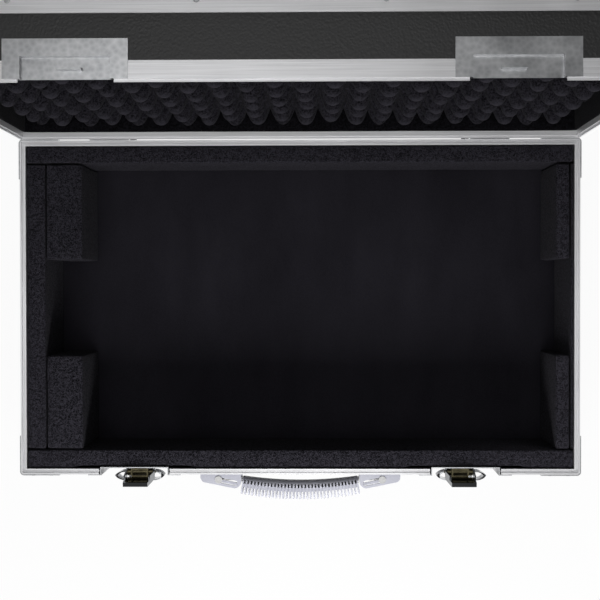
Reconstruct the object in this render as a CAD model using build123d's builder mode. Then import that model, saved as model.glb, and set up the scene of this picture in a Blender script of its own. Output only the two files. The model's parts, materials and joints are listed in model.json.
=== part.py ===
"""Flight case, stored with its lid standing open: base tray, lid, foam, hinges, latches and handle."""

from build123d import *
import math
import os

os.makedirs("parts", exist_ok=True)

# Case, all in millimetres
case_width = 580.0
case_depth = 347.0
foot_height = 6.0
base_height = 111.0
lid_height = 70.0
closing_gap = 0.3
lid_open_angle = 90.8

# Sheet, panel and foam thicknesses
leg = 1.2
panel = 3.4
rim_width = 2 * leg + panel
floor_foam = 10.0
foam_below_rim = 1.0
foam_seam = 0.3

# Inner faces of the tray's foam, measured from the middle of the case
front_foam_outer = 167.3
dish_notch = 1.7
front_foam_inner = 147.6
back_foam_inner = -149.5
left_foam_inner = -263.7
right_foam_inner = 280.2
left_block_inner = -225.1
right_block_inner = 264.8
bay_half_length = 49.5

# Convoluted foam in the lid: bumps in staggered rows, counted from the hinge axis
lid_liner = 3.0
lid_liner_start = 4.6
bump_pitch = 49.5
bump_x = 8.7
bump_first_row = 30.1
bump_rows = 14
bump_columns = 7
bump_below_rim = 8.1
bump_height = 36.0
bump_top_radius = 9.0
bump_root_radius = 15.5
bump_tip = 6.0
bump_tip_taper = 42.0

# Closure extrusion
groove_depth = 3.0
web = 1.5
ridge_width = 1.6
tongue_height = 2.2
tongue_width = 1.4
rim_end_gap = 1.3
outer_leg_height = 14.0
inner_leg_height = 7.0
case_corner_radius = 3.0
mitre_margin = 5.0
mitre_reach = 60.0

# Edge angles, braces and ball corners
angle_leg = 20.0
brace_leg = 40.0
brace_height = 24.0
brace_plate = 1.2
brace_below_rim = 0.4
ball_plate = 1.5
ball_reach = 36.0
ball_radius = 12.0
ball_inset = 7.0

# Rivets and feet
rivet_radius = 2.6
rivet_height = 1.1
flat_rivet_radius = 2.4
flat_rivet_height = 1.0
cap_rivet_near = 9.0
cap_rivet_far = 25.0
edge_rivet_pitch = 144.0
end_rivet_pitch = 85.0
foot_inset = 55.0
foot_radius = 13.0

# Hinges
hinge_x = 197.0
hinge_length = 40.0
hinge_knuckles = 4
knuckle_radius = 2.2
hinge_axis_out = 2.3
hinge_pin_radius = 1.1
hinge_leaf_height = 28.0
hinge_leaf = 1.2
buffer_width = 3.1
buffer_x = 171.7
buffer_out = 4.3
buffer_tip = 2.0
buffer_tip_clear = 1.6
buffer_length = 12.0

# Latches
latch_x = 172.0
claw_offset = 5.5
dish_width = 71.0
dish_height = 70.0
dish_flange = 12.5
dish_sheet = 1.0
dish_depth = 6.6
knob_drop = 46.0
claw_half_width = 15.2
claw_sheet = 1.5
claw_height = 23.3
claw_taper = 5.0
claw_taper_start = 5.0
claw_back = -2.5
claw_front = 6.5
claw_foot = -3.5
lip_depth = 4.5
claw_lift = 6.0
claw_tilt = 15.0
pivot_drop = 14.0
pivot_in = 2.0
pivot_bore = 1.55
link_pin_radius = 1.5
link_barrel_radius = 4.3
link_half_width = 9.0
link_plate_low = -22.0
link_plate_high = 8.0
link_apron = 6.0
link_apron_top = 1.4
hub_flange_radius = 8.0
hub_flange = 3.2
hub_radius = 5.5
ear_half_length = 9.6
ear_outer = 9.4
ear_sheet = 1.2
ear_height = 9.8
strike_height = 8.6
strike_out = 3.0
strike_reach = 12.0
keeper_height = 18.0
keeper_depth = 4.6
wing_reach = 26.0
wing_pin_x = 7.0
wing_pin_out = 7.0
wing_bulge = 5.0
wing_sheet = 1.3
wing_half_width = 7.9
wing_eye_radius = 2.6

# Handle
handle_drop = 55.0
grip_half_length = 62.4
bracket_end = 107.2
handle_pin_x = 87.8
handle_pin_out = 12.3
handle_half_height = 12.0
bracket_floor = 1.8
bracket_wall = 2.0
bracket_gap = 0.9
pin_slot_half = 9.1
pin_slot_width = 5.6
pin_slot_slant = 11.5
pin_radius = 2.4
pin_head_radius = 3.9
pin_head = 0.9
strap_half_width = 8.5
strap_half_thickness = 1.2
sleeve_thickness = 4.0
grip_out = 34.4
rib_pitch = 3.6
rib_count = 35
rib_share = 0.54
rib_spread = 4.5
rib_backing = 4.0

# Arches of the grip: distances outwards at its end and at its middle
grip_inner = (10.0, 14.6)
sleeve_inner = (12.6, 17.6)
grip_outer = (27.9, grip_out)
grip_inner_round = 6.5
grip_outer_round = 7.0

# Frames. The two shells share one set of shapes: x across, y towards the front, z into the shell.
rim_height = foot_height + base_height
lid_lean = case_depth * math.sin(math.radians(lid_open_angle - 90))
lid_reach = hinge_axis_out + lid_height + lid_lean + ball_plate
case_centre_y = (grip_out - lid_reach) / 2
hinge_y = case_centre_y + case_depth / 2 + hinge_axis_out
hinge_z = rim_height + closing_gap / 2

base_frame = Plane((0, case_centre_y, rim_height), x_dir=(1, 0, 0), z_dir=(0, 0, -1))
lid_closed = Plane((0, case_centre_y, rim_height + closing_gap), x_dir=(-1, 0, 0), z_dir=(0, 0, 1))
swing = Pos(0, hinge_y, hinge_z) * Rot(-lid_open_angle, 0, 0) * Pos(0, -hinge_y, -hinge_z)
lid_frame = Plane(swing * lid_closed.location)


def placed(frame, plane):
    """A plane given in a frame's own coordinates."""
    return Plane(frame.location * plane.location)


def level(frame, z):
    return placed(frame, Plane.XY.offset(z))


def upright(frame, y):
    return placed(frame, Plane.XZ.offset(-y))


def across(frame, x):
    return placed(frame, Plane.YZ.offset(x))


def front_frame(x, drop=0.0):
    """A frame on the base's front face: x across, y up, z outwards."""
    y = case_centre_y - case_depth / 2
    return Plane((x, y, rim_height - drop), x_dir=(1, 0, 0), z_dir=(0, -1, 0))


def plan(frame, side=1):
    """A plane across a front frame: x runs to one side, y outwards."""
    return placed(frame, Plane((0, 0, 0), x_dir=(side, 0, 0), z_dir=(0, -side, 0)))


def keep(builder, name):
    builder.part.label = name
    export_step(builder.part, f"parts/{name}.step")


def block(frame, x_span, y_span, z_span, mode=Mode.ADD):
    """A square block between two limits on each axis of a frame."""
    with BuildSketch(level(frame, z_span[0])) as outline:
        with Locations(((x_span[0] + x_span[1]) / 2, (y_span[0] + y_span[1]) / 2)):
            Rectangle(x_span[1] - x_span[0], y_span[1] - y_span[0])
    extrude(outline.sketch, amount=z_span[1] - z_span[0], mode=mode)


def ring(frame, outer_inset, inner_inset, z_span):
    """A rectangular band round the case, between two insets from its outer faces."""
    with BuildSketch(level(frame, z_span[0])) as outline:
        radius = max(case_corner_radius - outer_inset, 0.6)
        RectangleRounded(case_width - 2 * outer_inset, case_depth - 2 * outer_inset, radius)
        inner_width, inner_depth = case_width - 2 * inner_inset, case_depth - 2 * inner_inset
        if inner_inset > 0:
            Rectangle(inner_width, inner_depth, mode=Mode.SUBTRACT)
        else:
            RectangleRounded(inner_width, inner_depth, case_corner_radius - inner_inset, mode=Mode.SUBTRACT)
    extrude(outline.sketch, amount=z_span[1] - z_span[0])


def cut_to_side(frame, side, z_span):
    """Keep one mitred side of the case: front, back or the two ends."""
    half_x, half_y = case_width / 2 + mitre_margin, case_depth / 2 + mitre_margin
    inner_x, inner_y = half_x - mitre_reach, half_y - mitre_reach
    front = [(-half_x, half_y), (half_x, half_y), (inner_x, inner_y), (-inner_x, inner_y)]
    end = [(half_x, half_y), (half_x, -half_y), (inner_x, -inner_y), (inner_x, inner_y)]
    outlines = {
        "front": [front],
        "back": [[(x, -y) for x, y in front]],
        "ends": [end, [(-x, y) for x, y in end]],
    }
    with BuildSketch(level(frame, z_span[0])) as wedge:
        for points in outlines[side]:
            with BuildLine():
                Polyline(*points, close=True)
            make_face()
    extrude(wedge.sketch, amount=z_span[1] - z_span[0], mode=Mode.INTERSECT)


def latch_gap(frame, drop, spare=0.0):
    """The openings that the two latch dishes need in the front wall."""
    y_span = (case_depth / 2 - 2 * rim_width, case_depth / 2 + mitre_margin)
    half = dish_width / 2 + spare
    for x in (-latch_x, latch_x):
        x_span = (x - half, x + half)
        block(frame, x_span, y_span, (-mitre_margin, drop), Mode.SUBTRACT)


def shell_panels(name, frame, height, panel_start, gap_drop):
    """Outer plywood: a large flat panel, two long walls and two ends between them."""
    half_x, half_y = case_width / 2 - leg, case_depth / 2 - leg
    skin = height - leg
    with BuildPart() as flat:
        block(frame, (-half_x, half_x), (-half_y, half_y), (skin - panel, skin))
    keep(flat, f"{name}_flat_panel")
    with BuildPart() as front:
        block(frame, (-half_x, half_x), (half_y - panel, half_y), (panel_start, skin - panel))
        latch_gap(frame, gap_drop)
    keep(front, f"{name}_front_panel")
    with BuildPart() as back:
        block(frame, (-half_x, half_x), (-half_y, -half_y + panel), (panel_start, skin - panel))
    keep(back, f"{name}_back_panel")
    with BuildPart() as ends:
        for side in (-1, 1):
            x_span = sorted((side * half_x, side * (half_x - panel)))
            block(frame, x_span, (-half_y + panel, half_y - panel), (panel_start, skin - panel))
    keep(ends, f"{name}_end_panels")


def closure_rim(name, frame, grooved, gap_drop):
    """Aluminium closure extrusion in mitred lengths, with a groove on the base and a tongue on the lid."""
    web_start = groove_depth if grooved else 0
    for side in ("front", "back", "ends"):
        with BuildPart() as rim:
            ring(frame, 0, leg, (web_start + web, outer_leg_height))
            ring(frame, 0, rim_width, (web_start, web_start + web))
            ring(frame, rim_width - leg, rim_width, (web_start + web, inner_leg_height))
            if grooved:
                ring(frame, 0, ridge_width, (0, groove_depth))
                ring(frame, rim_width - ridge_width, rim_width, (0, groove_depth))
            else:
                middle = rim_width / 2
                ring(frame, middle - tongue_width / 2, middle + tongue_width / 2, (-tongue_height, 0))
            cut_to_side(frame, side, (-mitre_margin, outer_leg_height + mitre_margin))
            if side == "front":
                latch_gap(frame, gap_drop, rim_end_gap)
        keep(rim, f"{name}_rim_{side}")


def edge_angle(frame, height, side):
    """The angle along one side of the shell's outer edge, mitred at its ends."""
    with BuildPart() as angle:
        ring(frame, 0, leg, (height - angle_leg, height))
        ring(frame, leg, angle_leg, (height - leg, height))
        cut_to_side(frame, side, (height - angle_leg - mitre_margin, height + mitre_margin))
    return angle.part


def edge_angles(name, frame, height):
    """Aluminium angles along the outer edges of the shell, and four more up its corners."""
    with BuildPart() as corners:
        ring(frame, 0, leg, (outer_leg_height, height - angle_leg))
        with BuildSketch(level(frame, 0)):
            with GridLocations(case_width, case_depth, 2, 2):
                Rectangle(2 * angle_leg, 2 * angle_leg)
        extrude(amount=height, mode=Mode.INTERSECT)
    lengths = [edge_angle(frame, height, side) for side in ("front", "back", "ends")]
    solids = [solid for part in (*lengths, corners.part) for solid in part.solids()]
    angles = Compound(children=solids)
    angles.label = f"{name}_edge_angles"
    export_step(angles, f"parts/{name}_edge_angles.step")


def rim_braces(name, frame):
    """Bent corner plates outside the closure rim, with their lower corners cut back."""
    cut_back = brace_height * 0.45
    with BuildPart() as braces:
        ring(frame, -brace_plate, 0, (brace_below_rim, brace_height))
        with BuildSketch(level(frame, 0)):
            with GridLocations(case_width, case_depth, 2, 2):
                Rectangle(2 * brace_leg, 2 * brace_leg)
        extrude(amount=brace_height, mode=Mode.INTERSECT)
        for side in (-1, 1):
            start = side * (case_width / 2 - brace_leg)
            with BuildSketch(upright(frame, 0)):
                with BuildLine():
                    Polyline(
                        (start, brace_height - cut_back),
                        (start, brace_height + 1),
                        (start + side * cut_back, brace_height + 1),
                        close=True,
                    )
                make_face()
            extrude(amount=case_depth, both=True, mode=Mode.SUBTRACT)
            start = side * (case_depth / 2 - brace_leg)
            with BuildSketch(across(frame, 0)):
                with BuildLine():
                    Polyline(
                        (start, brace_height - cut_back),
                        (start, brace_height + 1),
                        (start + side * cut_back, brace_height + 1),
                        close=True,
                    )
                make_face()
            extrude(amount=case_width, both=True, mode=Mode.SUBTRACT)
    keep(braces, f"{name}_rim_braces")


def cap_leg(plane, corner, inward):
    """One leg of a corner cap: a quarter disc on one face of the case, reaching round its edges."""
    half = ball_reach / 2 + 2
    centre = (corner[0] + inward[0] * half, corner[1] + inward[1] * half)
    with BuildSketch(plane) as leg_outline:
        with Locations(corner):
            Circle(ball_reach - 2)
        with Locations(centre):
            Rectangle(2 * (half + ball_plate), 2 * (half + ball_plate), mode=Mode.INTERSECT)
    return leg_outline.sketch


def corner_cap(frame, side, y_side, height):
    """One pressed corner: three rounded legs and a ball, hollowed to fit over the case corner."""
    corner_x, corner_y = side * case_width / 2, y_side * case_depth / 2
    centre = Pos(corner_x - side * ball_inset, corner_y - y_side * ball_inset, height - ball_inset)
    seam_away = (31, 17, 0)
    with BuildPart() as cap:
        with Locations(frame.location * centre):
            Sphere(ball_radius, rotation=seam_away)
        x_span = sorted((corner_x, corner_x - side * 2 * ball_reach))
        y_span = sorted((corner_y, corner_y - y_side * 2 * ball_reach))
        block(frame, x_span, y_span, (height - 2 * ball_reach, height), Mode.SUBTRACT)
        extrude(cap_leg(level(frame, height), (corner_x, corner_y), (-side, -y_side)), amount=ball_plate)
        front_leg = cap_leg(upright(frame, corner_y), (corner_x, height), (-side, -1))
        extrude(front_leg, amount=-y_side * ball_plate)
        end_leg = cap_leg(across(frame, corner_x), (corner_y, height), (-y_side, -1))
        extrude(end_leg, amount=side * ball_plate)
    return cap.part


def ball_corners(name, frame, height):
    with BuildPart() as balls:
        for y_side in (-1, 1):
            add(corner_cap(frame, -1, y_side, height))
        mirror(about=across(frame, 0))
    keep(balls, f"{name}_ball_corners")


def facing(frame, point, normal):
    """A plane in a frame's coordinates, at a point and looking along a direction."""
    return placed(frame, Plane(point, z_dir=normal))


def rivets(name, spots, radius, height):
    """Domed rivet heads, each standing on a plane whose normal leaves the surface."""
    with BuildPart() as heads:
        for spot in spots:
            with BuildSketch(spot):
                Circle(radius)
            extrude(amount=height, taper=35)
    keep(heads, name)


def shell_rivet_spots(frame, height):
    """Rivets through the braces, the ball corners and the edge angles of one shell."""
    edge_row = height - angle_leg / 2
    spots = []
    for side in (-1, 1):
        for y_side in (-1, 1):
            x_face, y_face = side * case_width / 2, y_side * case_depth / 2
            x_brace, y_brace = x_face + side * brace_plate, y_face + y_side * brace_plate
            for inward, z in ((11, 8), (30, 8), (11, 18)):
                spots.append(facing(frame, (x_face - side * inward, y_brace, z), (0, y_side, 0)))
                spots.append(facing(frame, (x_brace, y_face - y_side * inward, z), (side, 0, 0)))
            x_cap, y_cap = x_face + side * ball_plate, y_face + y_side * ball_plate
            for inward, drop in ((cap_rivet_far, cap_rivet_near), (cap_rivet_near, cap_rivet_far)):
                spots.append(facing(frame, (x_face - side * inward, y_cap, height - drop), (0, y_side, 0)))
                spots.append(facing(frame, (x_cap, y_face - y_side * inward, height - drop), (side, 0, 0)))
    for y_side in (-1, 1):
        for step in (-3, -1, 1, 3):
            spot = (step * edge_rivet_pitch / 2, y_side * case_depth / 2, edge_row)
            spots.append(facing(frame, spot, (0, y_side, 0)))
    for side in (-1, 1):
        for step in (-1, 0, 1):
            spot = (side * case_width / 2, step * end_rivet_pitch, edge_row)
            spots.append(facing(frame, spot, (side, 0, 0)))
    return spots


def front_rivet_spots():
    """Rivets through the dish flanges and the handle brackets on the front of the base."""
    spots = []
    for side in (-1, 1):
        dish_frame = front_frame(side * latch_x)
        for x in (-1, 1):
            for y in (-22, -dish_height + 6):
                spots.append(placed(dish_frame, Plane((x * (dish_width + dish_flange) / 2, y, dish_sheet))))
        handle_frame = front_frame(0, handle_drop)
        for y in (-6, 6):
            spots.append(placed(handle_frame, Plane((side * (bracket_end - 20), y, bracket_floor))))
    return spots


def rubber_feet():
    with BuildPart() as feet:
        with BuildSketch(level(base_frame, base_height)):
            with GridLocations(case_width - 2 * foot_inset, case_depth - 2 * foot_inset, 2, 2):
                Circle(foot_radius)
        extrude(amount=foot_height, taper=10)
    keep(feet, "base_rubber_feet")


# Foam in the base. Heights run from the floor pad to just under the rim.
foam_bottom = base_height - leg - panel - floor_foam
wall_x = case_width / 2 - rim_width
wall_y = case_depth / 2 - rim_width


def foam_piece(name, x_span, y_span, z_span):
    """A straight-cut foam bar, its seam gap taken off the far end of each span."""
    with BuildPart() as piece:
        block(base_frame, x_span, y_span, z_span)
    keep(piece, name)


def base_foam():
    tall = (foam_below_rim, foam_bottom)
    gap = foam_seam
    under = (foam_bottom, foam_bottom + floor_foam)
    foam_piece("foam_floor_pad", (-wall_x, wall_x), (-wall_y, wall_y), under)
    foam_piece("foam_back_liner", (-wall_x, wall_x), (-wall_y, back_foam_inner), tall)
    half = dish_width / 2 + gap
    with BuildPart() as liner:
        block(base_frame, (-wall_x, wall_x), (front_foam_inner, front_foam_outer), tall)
        for x in (-latch_x, latch_x):
            y_span = (front_foam_outer - dish_notch, front_foam_outer + 1)
            block(base_frame, (x - half, x + half), y_span, (0, dish_height + 1), Mode.SUBTRACT)
    keep(liner, "foam_front_liner")
    y_between = (back_foam_inner + gap, front_foam_inner - gap)
    foam_piece("foam_left_liner", (-wall_x, left_foam_inner), y_between, tall)
    foam_piece("foam_right_liner", (right_foam_inner, wall_x), y_between, tall)
    back_y = (back_foam_inner + gap, -bay_half_length)
    front_y = (bay_half_length, front_foam_inner - gap)
    foam_piece("foam_left_back_block", (left_foam_inner + gap, left_block_inner), back_y, tall)
    foam_piece("foam_left_front_block", (left_foam_inner + gap, left_block_inner), front_y, tall)
    foam_piece("foam_right_back_block", (right_block_inner, right_foam_inner - gap), back_y, tall)
    foam_piece("foam_right_front_block", (right_block_inner, right_foam_inner - gap), front_y, tall)


def lid_foam():
    """A thin wall lining, and a pad of staggered finger-like bumps on the lid's ceiling."""
    ceiling = lid_height - leg - panel
    with BuildPart() as lining:
        block(lid_frame, (-wall_x, wall_x), (-wall_y, wall_y), (lid_liner_start, ceiling))
        inner_x, inner_y = wall_x - lid_liner, wall_y - lid_liner
        block(lid_frame, (-inner_x, inner_x), (-inner_y, inner_y), (0, ceiling + 1), Mode.SUBTRACT)
    keep(lining, "lid_wall_lining")

    pad_x, pad_y = inner_x - foam_seam, inner_y - foam_seam
    valley = bump_below_rim + bump_height
    back_edge = -case_depth / 2 - hinge_axis_out
    with BuildPart() as pad:
        block(lid_frame, (-pad_x, pad_x), (-pad_y, pad_y), (valley, ceiling))
        spots = []
        for row in range(bump_rows):
            y = back_edge + bump_first_row + row * bump_pitch / 2
            shift = bump_x + (row % 2) * bump_pitch / 2
            for column in range(-bump_columns, bump_columns):
                x = -(shift + column * bump_pitch)
                if abs(x) < pad_x - bump_root_radius and abs(y) < pad_y - bump_root_radius:
                    spots.append((x, y))
        finger = bump_height - bump_tip
        finger_taper = math.degrees(math.atan((bump_root_radius - bump_top_radius) / finger))
        with BuildSketch(level(lid_frame, valley)) as roots:
            with Locations(*spots):
                Circle(bump_root_radius)
        extrude(amount=-finger, taper=finger_taper)
        with BuildSketch(level(lid_frame, bump_below_rim + bump_tip)) as tips:
            with Locations(*spots):
                Circle(bump_top_radius)
        extrude(amount=-bump_tip, taper=bump_tip_taper)
    keep(pad, "lid_convoluted_foam")


def hinge_knuckle_spans(owner):
    """The stretches of the hinge barrel that belong to one leaf: 0 for the base, 1 for the lid."""
    length = hinge_length / hinge_knuckles
    spans = []
    for index in range(hinge_knuckles):
        if index % 2 == owner:
            start = -hinge_length / 2 + index * length
            spans.append((start + 0.1, start + length - 0.1))
    return spans


def hinge_leaves(name, frame, owner, x_sign):
    """One leaf of each hinge: a flat plate on the shell's back with its rolled knuckles."""
    back = -case_depth / 2
    with BuildPart() as leaves:
        for hinge in (-hinge_x, hinge_x):
            span = (hinge - hinge_length / 2, hinge + hinge_length / 2)
            block(frame, span, (back - hinge_leaf, back), (2.6, hinge_leaf_height))
            for low, high in hinge_knuckle_spans(owner):
                low, high = sorted((hinge + x_sign * low, hinge + x_sign * high))
                with BuildSketch(across(frame, low)):
                    with Locations((back - hinge_axis_out, -closing_gap / 2)):
                        Circle(knuckle_radius)
                        Circle(hinge_pin_radius + 0.04, mode=Mode.SUBTRACT)
                extrude(amount=high - low)
                with BuildSketch(across(frame, low)):
                    with BuildLine():
                        Polyline(
                            (back, 1.6),
                            (back, 2.8),
                            (back - hinge_leaf, 2.8),
                            (back - hinge_leaf - 0.9, 1.55),
                            close=True,
                        )
                    make_face()
                extrude(amount=high - low)
    keep(leaves, f"{name}_hinge_leaves")


def hinge_pins():
    with BuildPart() as pins:
        for hinge in (-hinge_x, hinge_x):
            with BuildSketch(across(base_frame, hinge - hinge_length / 2 + 0.2)):
                with Locations((-case_depth / 2 - hinge_axis_out, -closing_gap / 2)):
                    Circle(hinge_pin_radius)
            extrude(amount=hinge_length - 0.4)
    keep(pins, "hinge_pins")


def stop_buffers(name, frame, sign):
    """Black blocks beside the hinges, with a stepped tip that clears the other shell's rim as it swings."""
    back = -case_depth / 2
    with BuildPart() as buffers:
        for side in (-1, 1):
            centre = side * buffer_x + sign * (buffer_width / 2 + 0.2)
            span = (centre - buffer_width / 2, centre + buffer_width / 2)
            block(frame, span, (back - buffer_out, back - 0.05), (0.2, buffer_length))
            block(frame, span, (back - buffer_out, back - buffer_tip_clear), (-buffer_tip, 0.2))
    keep(buffers, f"{name}_stop_buffers")


def dish(frame, height, depth, up):
    """Stamped dish: a flange on the panel round a recess that is open at the rim."""
    half = dish_width / 2
    y_flange = sorted((0, up * (height + dish_flange)))
    y_clear = sorted((-up, up * (height - dish_sheet)))
    with BuildPart() as plate:
        block(frame, (-half - dish_flange, half + dish_flange), y_flange, (0, dish_sheet))
        y_low = sorted((up * (outer_leg_height + 0.1), up * (height + dish_flange)))
        block(frame, (-half - dish_flange, half + dish_flange), y_low, (-leg, 0))
        block(frame, (-half, half), sorted((0, up * height)), (-depth - dish_sheet, 0))
        inner = half - dish_sheet
        block(frame, (-inner, inner), y_clear, (-depth, dish_sheet + 1), Mode.SUBTRACT)
    return plate.part


def claw_outline(plane, side, inset, foot, top):
    """The claw from the front. Its side towards the handle leans in above the pivot."""
    reach = claw_half_width - inset
    with BuildSketch(plane) as outline:
        with BuildLine():
            Polyline(
                (side * reach, foot),
                (side * reach, top),
                (side * (claw_taper - reach), top),
                (-side * reach, claw_taper_start),
                (-side * reach, foot),
                close=True,
            )
        make_face()
    return outline.sketch


def latch_claw(name, claw_x, side):
    """Chromed claw, raised and tipped outwards about its pivot as it stands when unlocked."""
    pivot = front_frame(claw_x, pivot_drop - claw_lift)
    body = Plane(pivot.location * Pos(0, 0, -pivot_in))
    tipped = placed(body, Plane(Rot(claw_tilt, 0, 0)))
    wide = (-claw_half_width - 1, claw_half_width + 1)
    web = claw_front - claw_sheet
    with BuildPart() as claw:
        shell = claw_outline(tipped.offset(claw_back), side, 0, claw_foot, claw_height + claw_sheet)
        extrude(shell, amount=claw_front - claw_back)
        hollow = claw_outline(tipped.offset(claw_back - 1), side, claw_sheet, claw_foot - 1, claw_height)
        extrude(hollow, amount=web - claw_back + 1, mode=Mode.SUBTRACT)
        top = (claw_height - 6, claw_height + 5)
        block(tipped, wide, top, (claw_back - 1, claw_front - lip_depth), Mode.SUBTRACT)
        block(tipped, wide, (claw_foot - 1, -claw_foot), (-claw_back, claw_front + 1), Mode.SUBTRACT)
        with BuildSketch(across(body, 0)):
            Circle(pivot_bore)
        extrude(amount=claw_half_width + 2, both=True, mode=Mode.SUBTRACT)
    keep(claw, f"{name}_claw")
    return body


def latch_link(name, body):
    """Yellow draw link that carries the claw: a barrel with its pin, and a plate behind the knob."""
    inner = claw_half_width - claw_sheet
    half = link_half_width
    with BuildPart() as link:
        with BuildSketch(across(body, 0)):
            Circle(link_barrel_radius)
        extrude(amount=inner - 0.3, both=True)
        with BuildSketch(across(body, 0)):
            Circle(link_pin_radius)
        extrude(amount=claw_half_width + 1.0, both=True)
        block(body, (-half, half), (link_plate_low, link_plate_high), (-4.2, -2.2))
        for side in (-1, 1):
            x_span = sorted((side * half, side * (half - 1.6)))
            block(body, x_span, (-link_plate_high, link_plate_high), (-2.5, 3.2))
        block(body, (-half, half), (link_apron_top - 3, link_apron_top), (0, link_apron))
    keep(link, f"{name}_draw_link")


def latch_knob(name, x):
    """Turning hub with two ears that hold the wings' pins."""
    centre = front_frame(x, knob_drop)
    seat = 0.1 - dish_depth
    with BuildPart() as knob:
        with BuildSketch(centre.offset(seat)):
            Circle(hub_flange_radius)
        extrude(amount=hub_flange)
        with BuildSketch(centre.offset(seat)):
            Circle(hub_radius)
        extrude(amount=4.0 - seat)
        block(centre, (-4, 4), (-ear_outer, ear_outer), (0, 4.5))
        for side in (-1, 1):
            y_span = sorted((side * (ear_outer - ear_sheet), side * ear_outer))
            block(centre, (-ear_half_length, ear_half_length), y_span, (0, ear_height))
        with BuildSketch(plan(centre)):
            with Locations((-wing_pin_x, wing_pin_out), (wing_pin_x, wing_pin_out)):
                Circle(1.2)
        extrude(amount=ear_outer, both=True)
    keep(knob, f"{name}_knob")


def latch_wing(name, x, side, label):
    """Hollow teardrop wing, bent from sheet round its hinge pin."""
    centre = front_frame(x, knob_drop)
    section = placed(plan(centre, side), Plane((0, wing_pin_out, 0)))
    pin, bulge = wing_pin_x, wing_bulge
    with BuildPart() as wing:
        with BuildSketch(section):
            with BuildLine():
                ThreePointArc((pin, bulge - 2.4), (15, bulge), (wing_reach, 0.8))
                ThreePointArc((wing_reach, 0.8), (wing_reach + 0.5, 0), (wing_reach, -0.8))
                ThreePointArc((wing_reach, -0.8), (15, -bulge), (pin, -bulge + 2.4))
                Line((pin, -bulge + 2.4), (pin, bulge - 2.4))
            make_face()
            with Locations((pin, 0)):
                Circle(wing_eye_radius)
            with BuildLine():
                ThreePointArc((11, 2.2), (15, bulge - wing_sheet), (wing_reach - 2 * wing_sheet, 0))
                ThreePointArc((wing_reach - 2 * wing_sheet, 0), (15, wing_sheet - bulge), (11, -2.2))
                Line((11, -2.2), (11, 2.2))
            make_face(mode=Mode.SUBTRACT)
            with Locations((pin, 0)):
                Circle(1.3, mode=Mode.SUBTRACT)
        extrude(amount=wing_half_width + 0.1, both=True)
        with BuildSketch(centre.offset(-6)):
            with Locations((side * 13, 0)):
                RectangleRounded(30, 2 * wing_half_width, 6)
        extrude(amount=30, mode=Mode.INTERSECT)
    keep(wing, f"{name}_{label}_wing")


def latch_set(name, side):
    x = side * latch_x
    body = latch_claw(name, x - side * claw_offset, side)
    latch_link(name, body)
    latch_knob(name, x)
    latch_wing(name, x, -1, "left")
    latch_wing(name, x, 1, "right")


def latch_dishes():
    with BuildPart() as dishes:
        for side in (-1, 1):
            add(dish(front_frame(side * latch_x), dish_height, dish_depth, -1))
    keep(dishes, "latch_dishes")


def lid_keepers():
    """Dishes on the lid's front with a strike bar that the claws draw down."""
    with BuildPart() as keepers:
        for side in (-1, 1):
            x = -side * latch_x
            frame = placed(lid_frame, Plane((x, case_depth / 2, 0), x_dir=(-1, 0, 0), z_dir=(0, 1, 0)))
            add(dish(frame, keeper_height, keeper_depth, 1))
            centre = -side * claw_offset
            ends = (centre + side * strike_reach, centre - side * (strike_reach - claw_taper))
            block(frame, sorted(ends), (strike_height - 2, strike_height), (-keeper_depth, strike_out))
    keep(keepers, "lid_keeper_dishes")


def bracket_side(section, inner):
    """The bracket's side: square at the grip, then sloping down to a blunt outer end."""
    with BuildSketch(section) as outline:
        with BuildLine():
            Polyline((bracket_end, 9.0), (bracket_end, -leg), (inner, -leg), (inner, 14.0))
            ThreePointArc((inner, 14.0), (inner + 2.2, 19.2), (inner + 7.6, 21.5))
            Line((inner + 7.6, 21.5), (bracket_end - 3.6, 14.9))
            ThreePointArc((bracket_end - 3.6, 14.9), (bracket_end - 1.0, 12.6), (bracket_end, 9.0))
        make_face()
    return outline.sketch


def handle_ends():
    """Open channels with a slanted slot in each side wall, the headed pin in it, and the strap's end."""
    frame = front_frame(0, handle_drop)
    half = handle_half_height
    inner = grip_half_length + bracket_gap
    closed_end = bracket_end - 12
    for side, name in ((-1, "left"), (1, "right")):
        section = plan(frame, side)
        with BuildPart() as bracket:
            extrude(bracket_side(section, inner), amount=half, both=True)
            with BuildSketch(section):
                with BuildLine():
                    Polyline(
                        (inner - 2, bracket_floor),
                        (inner - 2, grip_out),
                        (closed_end, grip_out),
                        (closed_end, bracket_floor),
                        close=True,
                    )
                make_face()
            extrude(amount=half - bracket_wall, both=True, mode=Mode.SUBTRACT)
            slant = math.radians(pin_slot_slant)
            slot_x = handle_pin_x - pin_slot_half * math.cos(slant)
            slot_out = handle_pin_out + pin_slot_half * math.sin(slant)
            with BuildSketch(section):
                with Locations((slot_x, slot_out)):
                    SlotCenterToCenter(2 * pin_slot_half, pin_slot_width, rotation=-pin_slot_slant)
            extrude(amount=half + 1, both=True, mode=Mode.SUBTRACT)
        keep(bracket, f"handle_{name}_bracket")

        with BuildPart() as pin:
            with BuildSketch(section):
                with Locations((handle_pin_x, handle_pin_out)):
                    Circle(pin_head_radius)
            extrude(amount=half + pin_head, both=True)
            with BuildSketch(section):
                with Locations((handle_pin_x, handle_pin_out)):
                    Circle(pin_head_radius + 1)
                    Circle(pin_radius, mode=Mode.SUBTRACT)
            extrude(amount=half + 0.1, both=True, mode=Mode.SUBTRACT)
        keep(pin, f"handle_{name}_pin")

        with BuildPart() as tab:
            x_span = sorted((side * (grip_half_length + 4.9), side * (handle_pin_x - pin_radius - 0.1)))
            y_span = (-strap_half_width, strap_half_width)
            z_span = (handle_pin_out - strap_half_thickness, handle_pin_out + strap_half_thickness)
            block(frame, x_span, y_span, z_span)
        keep(tab, f"handle_{name}_strap_end")


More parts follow.
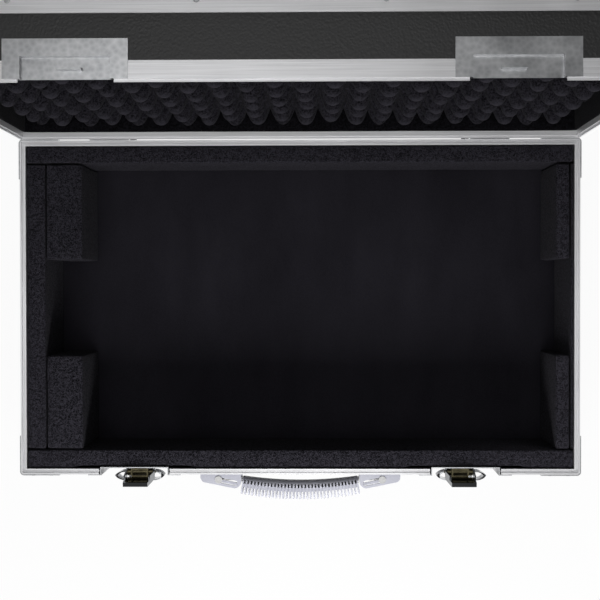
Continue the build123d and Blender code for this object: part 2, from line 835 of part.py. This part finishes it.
def grip_arch(frame, low, high, half_length, spread=0.0):
    """An arched outline across the grip. Each edge is given at the grip's end and at its middle."""
    high_half = half_length + spread
    with BuildSketch(plan(frame)) as outline:
        with BuildLine():
            ThreePointArc((-half_length, low[0]), (0, low[1]), (half_length, low[0]))
            Line((half_length, low[0]), (high_half, high[0]))
            ThreePointArc((high_half, high[0]), (0, high[1]), (-high_half, high[0]))
            Line((-high_half, high[0]), (-half_length, low[0]))
        make_face()
    return outline.sketch


def rib_fan(frame):
    """The ribs from above, each square to the arch of the strap's sleeve."""
    rise = sleeve_inner[1] - sleeve_inner[0]
    arch_radius = (grip_half_length**2 + rise**2) / (2 * rise)
    arch_centre = sleeve_inner[1] - arch_radius
    rib_middle = arch_radius + (grip_out - sleeve_inner[1]) / 2
    with BuildSketch(plan(frame)) as fan:
        for rib in range(rib_count):
            turn = (rib - (rib_count - 1) / 2) * rib_pitch / arch_radius
            with Locations((rib_middle * math.sin(turn), arch_centre + rib_middle * math.cos(turn))):
                Rectangle(rib_pitch * rib_share, 2 * grip_out, rotation=-math.degrees(turn))
    return fan.sketch


def handle_grip():
    """Flexible grip: fins between a smooth inner band and a backing, threaded on the strap's sleeve."""
    frame = front_frame(0, handle_drop)
    half = handle_half_height - 1.0
    band_half_length = grip_half_length - 1.2
    sleeve_outer = [out + sleeve_thickness for out in sleeve_inner]
    backing_outer = [out + rib_backing for out in sleeve_outer]
    with BuildPart() as envelope:
        body = grip_arch(frame, grip_inner, grip_outer, grip_half_length, rib_spread)
        extrude(body, amount=half, both=True)
        arcs = envelope.edges().filter_by(GeomType.CIRCLE).sort_by(Axis.Y)
        fillet(arcs[-2:], grip_inner_round)
        arcs = envelope.edges().filter_by(GeomType.CIRCLE)
        long_arcs = arcs.filter_by(lambda edge: edge.length > grip_half_length)
        fillet(long_arcs.sort_by(Axis.Y)[:2], grip_outer_round)
    with BuildPart() as grip:
        extrude(rib_fan(frame), amount=half, both=True)
        extrude(grip_arch(frame, grip_inner, sleeve_inner, band_half_length), amount=half, both=True)
        backing = grip_arch(frame, sleeve_outer, backing_outer, band_half_length)
        extrude(backing, amount=half - 1.5, both=True)
        add(envelope.part, mode=Mode.INTERSECT)
        spare = foam_seam / 3
        channel_inner = [out - spare for out in sleeve_inner]
        channel_outer = [out + spare for out in sleeve_outer]
        channel = grip_arch(frame, channel_inner, channel_outer, grip_half_length)
        extrude(channel, amount=strap_half_width + spare, both=True, mode=Mode.SUBTRACT)
    keep(grip, "handle_grip")
    with BuildPart() as sleeve:
        arch = grip_arch(frame, sleeve_inner, sleeve_outer, grip_half_length)
        extrude(arch, amount=strap_half_width, both=True)
    keep(sleeve, "handle_strap_sleeve")


shell_panels("base", base_frame, base_height, groove_depth + web, dish_height)
closure_rim("base", base_frame, True, dish_height)
edge_angles("base", base_frame, base_height)
rim_braces("base", base_frame)
ball_corners("base", base_frame, base_height)
rivets("base_shell_rivets", shell_rivet_spots(base_frame, base_height), rivet_radius, rivet_height)
rubber_feet()
rivets("base_front_rivets", front_rivet_spots(), flat_rivet_radius, flat_rivet_height)
base_foam()
lid_foam()
hinge_leaves("base", base_frame, 0, 1)
hinge_leaves("lid", lid_frame, 1, -1)
hinge_pins()
stop_buffers("base", base_frame, -1)
stop_buffers("lid", lid_frame, -1)
latch_dishes()
latch_set("left_latch", -1)
latch_set("right_latch", 1)
handle_ends()
handle_grip()
shell_panels("lid", lid_frame, lid_height, web, keeper_height)
closure_rim("lid", lid_frame, False, keeper_height)
edge_angles("lid", lid_frame, lid_height)
rim_braces("lid", lid_frame)
ball_corners("lid", lid_frame, lid_height)
rivets("lid_shell_rivets", shell_rivet_spots(lid_frame, lid_height), rivet_radius, rivet_height)
lid_keepers()
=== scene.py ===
# %% [markdown]
# An open flight case, seen from straight above. The imported model gives every metal and wooden piece
# at its real size, so this script adds what such a model lacks: finishes, soft foam, light and camera.
# The frame is loaded first.

# %% Load the fixed frame
import json
import math

import bmesh
import bpy
import numpy as np
from mathutils import Matrix, Vector


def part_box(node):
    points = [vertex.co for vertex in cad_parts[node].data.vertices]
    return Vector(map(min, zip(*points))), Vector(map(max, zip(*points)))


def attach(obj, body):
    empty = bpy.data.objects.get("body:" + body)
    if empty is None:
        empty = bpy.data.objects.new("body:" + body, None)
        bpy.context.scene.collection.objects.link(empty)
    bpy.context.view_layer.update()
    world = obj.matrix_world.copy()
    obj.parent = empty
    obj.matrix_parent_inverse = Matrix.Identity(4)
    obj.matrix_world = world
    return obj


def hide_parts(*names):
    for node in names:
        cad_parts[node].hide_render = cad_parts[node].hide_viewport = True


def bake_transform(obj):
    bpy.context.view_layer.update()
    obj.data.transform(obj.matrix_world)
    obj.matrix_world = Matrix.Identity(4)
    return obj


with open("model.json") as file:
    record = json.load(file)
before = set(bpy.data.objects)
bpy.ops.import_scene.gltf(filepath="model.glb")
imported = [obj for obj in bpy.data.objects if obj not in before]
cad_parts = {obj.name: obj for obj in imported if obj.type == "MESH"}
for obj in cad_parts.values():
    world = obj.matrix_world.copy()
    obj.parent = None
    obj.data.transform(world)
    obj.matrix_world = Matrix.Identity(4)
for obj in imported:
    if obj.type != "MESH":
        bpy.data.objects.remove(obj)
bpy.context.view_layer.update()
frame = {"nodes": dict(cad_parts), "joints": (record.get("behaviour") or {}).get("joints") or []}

# %% [markdown]
# Everything is placed from a few sizes of the case. The closure rim of the base gives its outline and
# the height that the photograph is sharpest at, so those are read from the model instead of typed in.

# %% Sizes of the case
low_ends, high_ends = (Vector(corner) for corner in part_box("base_rim_ends"))
rim_top = high_ends.z
case_centre = Vector(((low_ends.x + high_ends.x) / 2, (low_ends.y + high_ends.y) / 2, rim_top))
print("case centre", case_centre, "width", round(high_ends.x - low_ends.x, 4))


def node_box(name):
    low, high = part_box(name)
    return Vector(low), Vector(high)


# %% [markdown]
# The photograph was taken from about 1.3 m above the rim, a little off centre, with a lens of about
# 76 mm. Three small turns, found together with the distance from the corners of the rim, the pocket
# and the rows of foam, level the horizon lines. The camera is built from them as a plain matrix.

# %% Camera
camera_above_rim = 1.3069
camera_aside = 0.0215
camera_back = 0.0262
camera_turns = (0.0142, -0.0159, 0.0014)
picture_width = 600
focal_pixels = 1262.0

camera_data = bpy.data.cameras.new("overhead_camera")
camera = bpy.data.objects.new("overhead_camera", camera_data)
bpy.context.collection.objects.link(camera)
camera_data.sensor_width = 36
camera_data.lens = focal_pixels * camera_data.sensor_width / picture_width
turn_x, turn_y, turn_z = (Matrix.Rotation(angle, 3, axis) for angle, axis in zip(camera_turns, "XYZ"))
world_to_camera = turn_z @ turn_y @ turn_x
camera.matrix_world = Matrix.Translation(
    case_centre + Vector((camera_aside, camera_back, camera_above_rim))
) @ world_to_camera.transposed().to_4x4()
bpy.context.scene.camera = camera
print("camera at", camera.matrix_world.translation, "lens", round(camera_data.lens, 1))

# %% [markdown]
# Shader maths reads best as plain arithmetic. The small class below wraps the output of a node, so
# that an expression such as 1 - mask * 0.4 adds the Math nodes for it.

# %% Shader expressions
class Signal:
    def __init__(self, finish, socket):
        self.finish, self.socket = finish, socket

    def maths(self, operation, *others, flip=False):
        values = [self, *others]
        if flip:
            values.reverse()
        return self.finish.node("ShaderNodeMath", {"operation": operation}, dict(enumerate(values)))

    def __add__(self, other):
        return self.maths("ADD", other)

    def __radd__(self, other):
        return self.maths("ADD", other, flip=True)

    def __sub__(self, other):
        return self.maths("SUBTRACT", other)

    def __rsub__(self, other):
        return self.maths("SUBTRACT", other, flip=True)

    def __mul__(self, other):
        return self.maths("MULTIPLY", other)

    def __rmul__(self, other):
        return self.maths("MULTIPLY", other, flip=True)

    def between(self, low, high):
        """0 below low, 1 above high and a straight ramp in between."""
        limits = {"Value": self, "From Min": low, "From Max": high}
        return self.finish.node("ShaderNodeMapRange", {"clamp": True}, limits)


class Nodes:
    """A node tree that is built by adding one node at a time."""

    def __init__(self, tree):
        self.tree = tree

    def node(self, kind, settings=None, inputs=None, output=0):
        made = self.tree.nodes.new(kind)
        for key, value in (settings or {}).items():
            setattr(made, key, value)
        self.feed(made, inputs or {})
        return Signal(self, made.outputs[output])

    def feed(self, made, inputs):
        for key, value in inputs.items():
            if isinstance(value, Signal):
                self.tree.links.new(value.socket, made.inputs[key])
            else:
                made.inputs[key].default_value = value

    def place(self, scale=(1, 1, 1)):
        spot = self.node("ShaderNodeTexCoord", output="Object")
        return self.node("ShaderNodeMapping", {}, {"Vector": spot, "Scale": scale})

    def noise(self, scale, detail=4.0, rough=0.5, stretch=(1, 1, 1)):
        inputs = {"Vector": self.place(stretch), "Scale": scale, "Detail": detail, "Roughness": rough}
        return self.node("ShaderNodeTexNoise", {}, inputs, output="Fac")

    def cells(self, scale, feature="F1", stretch=(1, 1, 1)):
        inputs = {"Vector": self.place(stretch), "Scale": scale}
        return self.node("ShaderNodeTexVoronoi", {"feature": feature}, inputs, output="Distance")

    def mix(self, factor, first, second):
        """A mix of two colours. The Mix node keeps its colour sockets at 6, 7 and output 2."""
        return self.node("ShaderNodeMix", {"data_type": "RGBA"}, {0: factor, 6: first, 7: second}, output=2)

    def bump(self, height, strength, distance):
        inputs = {"Height": height, "Strength": strength, "Distance": distance}
        return self.node("ShaderNodeBump", {}, inputs)


class Finish(Nodes):
    """A material under construction, which ends in one shader."""

    def __init__(self, name):
        self.material = bpy.data.materials.new(name)
        self.material.use_nodes = True
        super().__init__(self.material.node_tree)
        self.shader = self.tree.nodes["Principled BSDF"]

    def end(self, **inputs):
        self.feed(self.shader, {key.replace("_", " "): value for key, value in inputs.items()})
        return self.material


def grey(value, tint=(1, 1, 1)):
    return (value * tint[0], value * tint[1], value * tint[2], 1)


# %% [markdown]
# The metals come first. Extruded aluminium keeps faint lines along its length, and its etched skin
# scatters half of what falls on it. Pressed zinc steel is mottled, chrome only has a trace of haze and is
# kept dark as a painted dark reflection, and yellow passivated zinc shifts between straw and olive.

# %% Metals
def extruded_aluminium(name, along):
    finish = Finish(name)
    lines = finish.noise(6, detail=3, stretch=[2 if axis == along else 160 for axis in "xyz"])
    marks = finish.noise(22, detail=6)
    cool = (1, 1, 1.02)
    colour = finish.mix(lines.between(0.3, 0.75), grey(0.66, cool), grey(0.84, cool))
    normal = finish.bump(lines, 0.12, 0.0004)
    return finish.end(Base_Color=colour, Metallic=0.5, Roughness=0.26 + marks * 0.2, Normal=normal)


def zinc_steel(name="zinc_steel"):
    finish = Finish(name)
    spangle = finish.cells(260)
    stains = finish.noise(30, detail=7)
    shade = (spangle * 0.5 + stains * 0.7).between(0.2, 0.9)
    colour = finish.mix(shade, grey(0.32, (0.98, 1, 1.04)), grey(0.54, (0.99, 1, 1.02)))
    normal = finish.bump(stains, 0.08, 0.0005)
    return finish.end(Base_Color=colour, Metallic=1.0, Roughness=0.22 + stains * 0.2, Normal=normal)


def chrome(name="chrome"):
    finish = Finish(name)
    haze = finish.noise(40, detail=5)
    # The haze varies the chrome at random; its low grey levels are a painted dark reflection of the room.
    colour = finish.mix(haze, grey(0.16, (0.97, 1, 1.04)), grey(0.3, (0.98, 1, 1.03)))
    return finish.end(Base_Color=colour, Metallic=1.0, Roughness=0.04 + haze * 0.08)


def yellow_zinc(name="yellow_zinc"):
    finish = Finish(name)
    tint = finish.noise(90, detail=4)
    colour = finish.mix(tint.between(0.35, 0.65), (0.035, 0.03, 0.018, 1), (0.1, 0.088, 0.052, 1))
    return finish.end(Base_Color=colour, Metallic=1.0, Roughness=0.24 + tint * 0.2)


def strap_steel(name="strap_steel"):
    finish = Finish(name)
    grain = finish.noise(8, detail=3, stretch=(4, 90, 90))
    colour = finish.mix(grain, grey(0.42), grey(0.62))
    return finish.end(Base_Color=colour, Metallic=1.0, Roughness=0.3 + grain * 0.15)


aluminium = {along: extruded_aluminium(f"extruded_aluminium_{along}", along) for along in "xy"}
print("metals ready")


# %% [markdown]
# The panels are plywood with a black laminate whose skin is finely pebbled, so light breaks up on it.
# Rubber is darker and smoother, and the handle is a silvery plastic with a satin skin.

# %% Laminate, rubber and plastics
def black_laminate(name="black_laminate"):
    finish = Finish(name)
    pebbles = finish.cells(520, feature="SMOOTH_F1")
    wear = finish.noise(7, detail=6)
    colour = finish.mix(wear.between(0.3, 0.8), grey(0.012), grey(0.022, (1, 1, 1.04)))
    normal = finish.bump(pebbles, 0.35, 0.0006)
    return finish.end(Base_Color=colour, Roughness=0.38 + wear * 0.2, Normal=normal)


def black_rubber(name="black_rubber"):
    finish = Finish(name)
    dust = finish.noise(60, detail=5)
    colour = finish.mix(dust.between(0.4, 0.8), grey(0.005), grey(0.012))
    normal = finish.bump(dust, 0.15, 0.0004)
    return finish.end(Base_Color=colour, Roughness=0.55 + dust * 0.25, Normal=normal)


def silver_plastic(name="silver_plastic"):
    finish = Finish(name)
    skin = finish.noise(700, detail=2)
    flow = finish.noise(12, detail=4)
    darker, paler = grey(0.52, (0.97, 0.98, 1.12)), grey(0.6, (0.98, 0.99, 1.1))
    colour = finish.mix(flow.between(0.35, 0.7), darker, paler)
    normal = finish.bump(skin, 0.05, 0.0002)
    return finish.end(Base_Color=colour, Roughness=0.4 + flow * 0.2, Specular_IOR_Level=0.3, Normal=normal)


print("laminate, rubber and plastic ready")


# %% [markdown]
# Open-cell foam is a maze of pores about half a millimetre wide. Two layers of cells give the dark
# pores and the paler struts between them, and a broad noise gives the uneven nap. It is nearly black,
# so the difference between pore and strut does most of the work.

# %% Foam and felt
violet = (1, 0.95, 1.2)


def open_cell_foam(name, shade, painted_tip_sheen=None):
    finish = Finish(name)
    pores = finish.cells(800)
    coarse = finish.noise(420, detail=2, rough=0.75)
    nap = finish.noise(16, detail=5, rough=0.6)
    struts = (pores * 0.7 + coarse * 1.3).between(0.75, 1.2)
    dark = finish.mix(nap.between(0.3, 0.7), grey(shade * 0.2, violet), grey(shade * 0.5, violet))
    colour = finish.mix(struts, dark, grey(shade * 2.2, violet))
    # The tip mask lightens the ends of the fingers with a painted sheen, where the fuzzy tips catch the
    # light.
    if painted_tip_sheen:
        colour = finish.mix(painted_tip_sheen(finish) * 0.75, colour, grey(shade * 3.4, violet))
    finish.shader.inputs["Sheen Weight"].default_value = 0.02
    normal = finish.bump(struts, 0.6, 0.0007)
    return finish.end(Base_Color=colour, Roughness=1.0, Specular_IOR_Level=0.04, Normal=normal)


def floor_felt(name="floor_felt"):
    finish = Finish(name)
    fibres = finish.noise(900, detail=4, rough=0.75)
    nap = finish.noise(9, detail=7, rough=0.65)
    brushed = finish.noise(26, detail=4, stretch=(1, 0.35, 1))
    dark = finish.mix(nap.between(0.32, 0.7), grey(0.009, violet), grey(0.013, violet))
    colour = finish.mix((fibres * 0.8 + brushed * 0.5).between(0.4, 0.9), dark, grey(0.024, violet))
    normal = finish.bump(fibres, 0.5, 0.0005)
    return finish.end(Base_Color=colour, Roughness=1.0, Specular_IOR_Level=0.0, Normal=normal)


print("foam and felt ready")

# %% [markdown]
# Each CAD node gets its finish from its name, and where two words of the list fit, the later one
# counts. Lengths of extrusion take the version whose lines run along them. A small bevel modifier
# rounds the crisp edges of the metal so that they catch the light.

# %% Finishes for the modelled pieces
zinc, darkened_chrome, straw, steel = zinc_steel(), chrome(), yellow_zinc(), strap_steel()
laminate, rubber, plastic = black_laminate(), black_rubber(), silver_plastic()
finish_of = {
    "panel": laminate,
    "rim_front": aluminium["x"],
    "rim_back": aluminium["x"],
    "rim_ends": aluminium["y"],
    "edge_angles": aluminium["x"],
    "rim_braces": zinc,
    "ball_corners": zinc,
    "rivets": zinc,
    "hinge": zinc,
    "dishes": zinc,
    "buffers": rubber,
    "feet": rubber,
    "claw": darkened_chrome,
    "knob": darkened_chrome,
    "wing": darkened_chrome,
    "draw_link": straw,
    "handle": plastic,
    "pin": steel,
    "strap": steel,
    "sleeve": rubber,
}
rounded = {"rim": 0.0003, "braces": 0.0003, "claw": 0.0004, "knob": 0.0003, "bracket": 0.0008, "feet": 0.001}
crisp_edge = math.radians(35)
for name, piece in frame["nodes"].items():
    matches = [material for key, material in finish_of.items() if key in name]
    if not matches:
        continue
    piece.data.materials.clear()
    piece.data.materials.append(matches[-1])
    for key, width in rounded.items():
        if key in name:
            bevel = piece.modifiers.new("soft_edges", "BEVEL")
            bevel.width, bevel.segments, bevel.limit_method = width, 2, "ANGLE"
            bevel.angle_limit = crisp_edge
print(len(frame["nodes"]), "nodes finished")


# %% [markdown]
# The foam bars were cut with a hot wire: flat sides, slightly soft edges and a surface that is never
# quite true. Each is a box cut into a fine grid, pulled in a little at its edges, and moved by a
# smooth seeded noise of under a millimetre.

# %% Helpers for soft pieces
def grown(name, verts, faces, material):
    mesh = bpy.data.meshes.new(name)
    mesh.from_pydata([tuple(vert) for vert in verts], [], faces)
    mesh.update()
    piece = bpy.data.objects.new(name, mesh)
    bpy.context.collection.objects.link(piece)
    mesh.materials.append(material)
    for polygon in mesh.polygons:
        polygon.use_smooth = True
    return piece


def waviness(point, seed):
    """A smooth pseudo-random value between about -1 and 1, from three crossed waves."""
    x, y, z = point
    return (
        math.sin(31 * x + 3.1 * seed + 17 * z) * math.cos(23 * y - 1.7 * seed)
        + math.sin(57 * y + 41 * z + 5.3 * seed) * 0.6
        + math.sin(83 * x - 61 * y + 2.2 * seed) * 0.35
    ) / 1.95


def cut_foam_bar(name, low, high, material, step=0.008, softness=0.0012, wave=0.0005, seed=1):
    """A foam bar between two corners, with rounded edges and slightly uneven faces."""
    touching = 1e-6
    edge_pull = 0.55
    bm = bmesh.new()
    size = high - low
    counts = [max(2, int(round(length / step))) for length in size]
    bmesh.ops.create_cube(bm, size=1)
    for vert in bm.verts:
        vert.co = Vector((low[i] + (vert.co[i] + 0.5) * size[i] for i in range(3)))
    for axis in range(3):
        for cut in range(1, counts[axis]):
            at = Vector((0, 0, 0))
            at[axis] = low[axis] + size[axis] * cut / counts[axis]
            normal = Vector((0, 0, 0))
            normal[axis] = 1
            whole = bm.verts[:] + bm.edges[:] + bm.faces[:]
            bmesh.ops.bisect_plane(bm, geom=whole, plane_co=at, plane_no=normal)
    middle = (low + high) / 2
    for vert in bm.verts:
        inside = [min(vert.co[i] - low[i], high[i] - vert.co[i]) for i in range(3)]
        on_edge = sum(1 for value in inside if value < touching)
        shift = waviness(vert.co, seed) * wave
        for i in range(3):
            if inside[i] < touching:
                away = 1 if vert.co[i] > middle[i] else -1
                pull = softness * edge_pull if on_edge > 1 else 0
                vert.co[i] -= away * (pull + abs(shift))
    mesh = bpy.data.meshes.new(name)
    bm.normal_update()
    bm.to_mesh(mesh)
    bm.free()
    piece = bpy.data.objects.new(name, mesh)
    bpy.context.collection.objects.link(piece)
    mesh.materials.append(material)
    for polygon in mesh.polygons:
        polygon.use_smooth = True
    bevel = piece.modifiers.new("cut_edge", "BEVEL")
    bevel.width, bevel.segments, bevel.limit_method = softness, 2, "ANGLE"
    bevel.angle_limit = math.radians(50)
    normals = piece.modifiers.new("even_light", "WEIGHTED_NORMAL")
    normals.keep_sharp = True
    return piece


def settle(piece, node, body="base"):
    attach(piece, body)
    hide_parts(node)


# %% [markdown]
# Eight bars line the tray. They are cut from one sheet, so they share one finish, and a seed for each
# bar makes its faces uneven in their own way. The front bar is pressed back where the latch dishes
# reach through the wall behind it.

# %% Foam bars in the tray
dishes_end = node_box("latch_dishes")[1].x
dish_width = 0.096
dish_room = 0.0115
dish_press = 0.0019
bar_skin = 0.004


def notch(bar, outer_face):
    """Press the bar's outer face back behind both latch dishes."""
    for vert in bar.data.vertices:
        from_end = dishes_end - abs(vert.co.x)
        behind_dish = -dish_room < from_end < dish_width + dish_room
        if behind_dish and vert.co.y < outer_face + bar_skin:
            vert.co.y += dish_press


tray_foam = open_cell_foam("tray_foam", 0.0165)
bars = (
    "foam_back_liner",
    "foam_front_liner",
    "foam_left_liner",
    "foam_right_liner",
    "foam_left_back_block",
    "foam_left_front_block",
    "foam_right_back_block",
    "foam_right_front_block",
)
for seed, node in enumerate(bars):
    low, high = node_box(node)
    bar = cut_foam_bar(node + "_cut", low, high, tray_foam, seed=seed + 1)
    if node == "foam_front_liner":
        notch(bar, low.y)
    settle(bar, node)
print(len(bars), "foam bars cut")

# %% [markdown]
# The floor pad is soft felt over foam. Where the walls press on it, its edge rounds down, and the
# open field between is dimpled and faintly creased.

# %% Floor pad
low, high = node_box("foam_floor_pad")
felt = floor_felt()
pad = cut_foam_bar("floor_pad_felt", low, high, felt, step=0.006, softness=0.001, wave=0.0007, seed=21)
settle(pad, "foam_floor_pad")

# %% [markdown]
# Convoluted foam is cut between profiled rollers, so its bumps and hollows are the same wave turned
# over. The product of two cosines has peaks in staggered rows. A hyperbolic tangent widens its tops
# and hollows and steepens what lies between, which leaves thumb-like bumps with round ends.

# %% Convoluted foam in the lid
lid_hinge = next(joint for joint in frame["joints"] if joint["name"] == "lid_hinge")
hinge_point = Vector(lid_hinge["pos_m"])
past_upright = math.radians(lid_hinge["range_deg"][1] - 90)
# In the lid's own axes x runs across, y away from the hinge and z from the rim plane into the lid
lid_axes = Matrix.Translation(hinge_point) @ Matrix(
    (
        (1, 0, 0, 0),
        (0, math.sin(past_upright), math.cos(past_upright), 0),
        (0, math.cos(past_upright), -math.sin(past_upright), 0),
        (0, 0, 0, 1),
    )
)


def lid_box(name):
    """The corners of a lid node in the lid's own axes."""
    back = lid_axes.inverted()
    points = [back @ vert.co for vert in frame["nodes"][name].data.vertices]
    spans = [[point[i] for point in points] for i in range(3)]
    return Vector(map(min, spans)), Vector(map(max, spans))


pad_low, pad_high = lid_box("lid_convoluted_foam")
print("convoluted foam in lid axes, mm:", [round(v * 1000, 1) for v in (*pad_low, *pad_high)])

bump_pitch = 0.0495
bump_offset = 0.0087
first_row = 0.0301
tip_depth = 0.0081
tip_fade = 0.005
wave_height = 0.036
roundness = 1.35
side_margin = 0.012
grid_step = 0.002


def finger_depth(x, y, lean):
    """How far the foam's surface lies behind the rim plane, with every finger leaning its own way."""
    turn_x = 2 * math.pi * (x - bump_offset) / bump_pitch
    turn_y = 2 * math.pi * (y - first_row) / bump_pitch
    wave = np.cos(turn_x + lean[0]) * np.cos(turn_y + lean[1])
    fingers = np.tanh(roundness * wave) / math.tanh(roundness)
    from_side = np.minimum(x - pad_low.x, pad_high.x - x) / side_margin
    fingers = (fingers + 1) * np.clip(from_side, 0, 1) ** 0.5 - 1
    return tip_depth + wave_height * (0.5 - 0.5 * fingers) + lean[2]


def finger_leans(x, y):
    """Slow waves, a tenth of a radian high, that keep the rows from looking machined."""
    return (
        0.1 * np.sin(19 * x + 37 * y) + 0.06 * np.sin(71 * x - 23 * y + 1),
        0.1 * np.sin(29 * y - 17 * x + 2) + 0.06 * np.sin(61 * y + 43 * x),
        0.0007 * (1 + np.sin(47 * x + 13 * y) * np.cos(53 * y - 11 * x)),
    )


columns = int((pad_high.x - pad_low.x) / grid_step)
rows = int((pad_high.y - pad_low.y) / grid_step)
grid_x, grid_y = np.meshgrid(
    np.linspace(pad_low.x, pad_high.x, columns + 1), np.linspace(pad_low.y, pad_high.y, rows + 1)
)
surface = finger_depth(grid_x, grid_y, finger_leans(grid_x, grid_y))
front = np.stack([grid_x, grid_y, surface], axis=-1).reshape(-1, 3)
width = columns + 1
first_corners = [row * width + column for row in range(rows) for column in range(columns)]
quads = [(corner, corner + 1, corner + width + 1, corner + width) for corner in first_corners]
# The sides run round the grid's border and down to the ceiling of the lid
border = list(range(columns))
border += [row * width + columns for row in range(rows)]
border += [rows * width + column for column in range(columns, 0, -1)]
border += [row * width for row in range(rows, 0, -1)]
first_deep = len(front)
deep = front[border].copy()
deep[:, 2] = pad_high.z
turns = len(border)
quads += [
    (border[(i + 1) % turns], border[i], first_deep + i, first_deep + (i + 1) % turns) for i in range(turns)
]
quads.append(tuple(first_deep + i for i in range(turns)))


def finger_tip_sheen(finish):
    """1 on the ends of the fingers, fading to 0 a little behind them: the mask of a painted sheen, where the
    fuzzy tips catch the light.
    """
    spot = finish.node("ShaderNodeTexCoord", output="Object")
    y = finish.node("ShaderNodeSeparateXYZ", {}, {0: spot}, output="Y") - hinge_point.y
    z = finish.node("ShaderNodeSeparateXYZ", {}, {0: spot}, output="Z") - hinge_point.z
    depth = y * math.cos(past_upright) - z * math.sin(past_upright)
    return 1 - depth.between(tip_depth, tip_depth + tip_fade)


# The lid's foam gets a lower shade than the tray's foam, as painted shade that offsets the front lamp facing
# the fingers.
lid_foam_painted_light = open_cell_foam("lid_foam_painted_light", 0.0115, painted_tip_sheen=finger_tip_sheen)
egg_foam = grown("convoluted_foam", np.vstack([front, deep]), quads, lid_foam_painted_light)
egg_foam.data.transform(lid_axes)
egg_foam.data.update()
settle(egg_foam, "lid_convoluted_foam", body="lid")
print("convoluted foam:", len(egg_foam.data.vertices), "points")

# %% [markdown]
# Flat strips of the same foam line the lid's four walls and hide the plywood behind the fingers. Their
# shade is set far below the fingers' as painted shade, where the fingers keep the light off the walls.

# %% Foam strips on the lid's walls
low, high = lid_box("lid_wall_lining")
strip = 0.003
# The low shade of this foam is painted shade for the walls behind the fingers.
painted_shade_lining = open_cell_foam("lid_lining_painted_shade", 0.004)
corners = (
    (low, Vector((high.x, low.y + strip, high.z))),
    (Vector((low.x, high.y - strip, low.z)), high),
    (Vector((low.x, low.y + strip, low.z)), Vector((low.x + strip, high.y - strip, high.z))),
    (Vector((high.x - strip, low.y + strip, low.z)), Vector((high.x, high.y - strip, high.z))),
)
strips = [
    cut_foam_bar(f"lid_strip_{i}", near, far, painted_shade_lining, softness=0.0006, wave=0.0002, seed=31 + i)
    for i, (near, far) in enumerate(corners)
]
for piece in strips:
    piece.data.transform(lid_axes)
    settle(piece, "lid_wall_lining", body="lid")
print(len(strips), "strips on the lid's walls")

# %% [markdown]
# The handle's spring strap runs from a pin in each bracket into the grip. Each end is one straight band
# that reaches from the pin to a little way inside the grip.

# %% Ends of the strap
hidden_in_grip = 0.006
for side, name in ((-1, "left"), (1, "right")):
    low, high = node_box(f"handle_{name}_strap_end")
    pin_side, grip_side = (low.x, high.x) if side < 0 else (high.x, low.x)
    grip_side -= side * hidden_in_grip
    band = cut_foam_bar(
        f"handle_{name}_strap",
        Vector((min(pin_side, grip_side), low.y, low.z)),
        Vector((max(pin_side, grip_side), high.y, high.z)),
        steel,
        step=0.003,
        softness=0.0004,
        wave=0.0,
    )
    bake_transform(band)
    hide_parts(f"handle_{name}_strap_end")

# %% [markdown]
# A wide pale floor lies under the feet. Seen by the camera it is mostly plain white, and the rest of
# it is lit as usual, so that a soft shadow still shows where the case stands. The room round it is
# white to the camera. Metal sees its walls as white too, but its ceiling as dark, because polished
# metal only looks like metal where it has something dark to reflect.

# %% Floor and surroundings
floor_size = 14
floor_height = -0.0005
plain_white_share = 0.94
bpy.ops.mesh.primitive_plane_add(size=floor_size, location=(0, 0, floor_height))
floor = bpy.context.object
floor.name = "pale_floor"
ground = Finish("pale_floor")
paper = ground.noise(3, detail=3)
ground.end(Base_Color=ground.mix(paper, grey(0.78), grey(0.82)), Roughness=0.9)
rays = ground.tree.nodes.new("ShaderNodeLightPath")
by_camera, in_metal = (Signal(ground, rays.outputs[f"Is {kind} Ray"]) for kind in ("Camera", "Glossy"))
plain = (by_camera + in_metal) * plain_white_share
lit = Signal(ground, ground.shader.outputs[0])
glow = ground.node("ShaderNodeEmission", {}, {"Color": (1, 1, 1, 1), "Strength": 1.0})
blended = ground.node("ShaderNodeMixShader", {}, {0: plain, 1: lit, 2: glow})
ground.tree.links.new(blended.socket, ground.tree.nodes["Material Output"].inputs["Surface"])
floor.data.materials.append(ground.material)

world = bpy.data.worlds.new("studio")
bpy.context.scene.world = world
world.use_nodes = True
sky = Nodes(world.node_tree)
background = sky.tree.nodes["Background"]
seen_by_camera = sky.node("ShaderNodeLightPath", output="Is Camera Ray")
seen_in_metal = sky.node("ShaderNodeLightPath", output="Is Glossy Ray")
direction = sky.node("ShaderNodeTexCoord", output="Generated")
height = sky.node("ShaderNodeSeparateXYZ", {}, {0: direction}, output="Z")
ceiling_starts, ceiling_full = 0.2, 0.55
ceiling_darkness = 0.88
dark_ceiling = 1 - height.between(ceiling_starts, ceiling_full) * ceiling_darkness
plain_light = 0.07
mirrored = seen_in_metal * (dark_ceiling - plain_light) + plain_light
strength = seen_by_camera * (1 - mirrored) + mirrored
sky.feed(background, {"Color": (1, 1, 1, 1), "Strength": strength})
print("floor and surroundings ready")

# %% [markdown]
# Three soft lamps stand in for the studio: one low in front of the case, a large one overhead and one
# behind. The front lamp makes the foam at the front and the far wall of the tray paler. Metal doesn't
# mirror it, because its sharp reflection would burn out the chrome.

# %% Lamps
def soft_lamp(name, place, size, power):
    """A rectangular lamp that faces the case. Its place and size are in metres, its power in watts."""
    lamp = bpy.data.lights.new(name, "AREA")
    lamp.shape = "RECTANGLE"
    lamp.size, lamp.size_y = size
    lamp.energy = power
    stand = bpy.data.objects.new(name, lamp)
    bpy.context.collection.objects.link(stand)
    stand.location = place
    stand.rotation_euler = (case_centre - stand.location).to_track_quat("-Z", "Y").to_euler()
    stand.visible_camera = False
    return stand


front_lamp = soft_lamp("front_lamp", (0.0, -0.66, 0.5), (0.85, 0.25), 5.4)
front_lamp.visible_glossy = False
soft_lamp("overhead_lamp", (-0.1, -0.15, 2.2), (1.3, 1.0), 11)
soft_lamp("back_lamp", (0.5, 2.2, 0.9), (1.6, 1.0), 18)
print("lamps placed")
bpy.context.scene.view_settings.view_transform = "Standard"
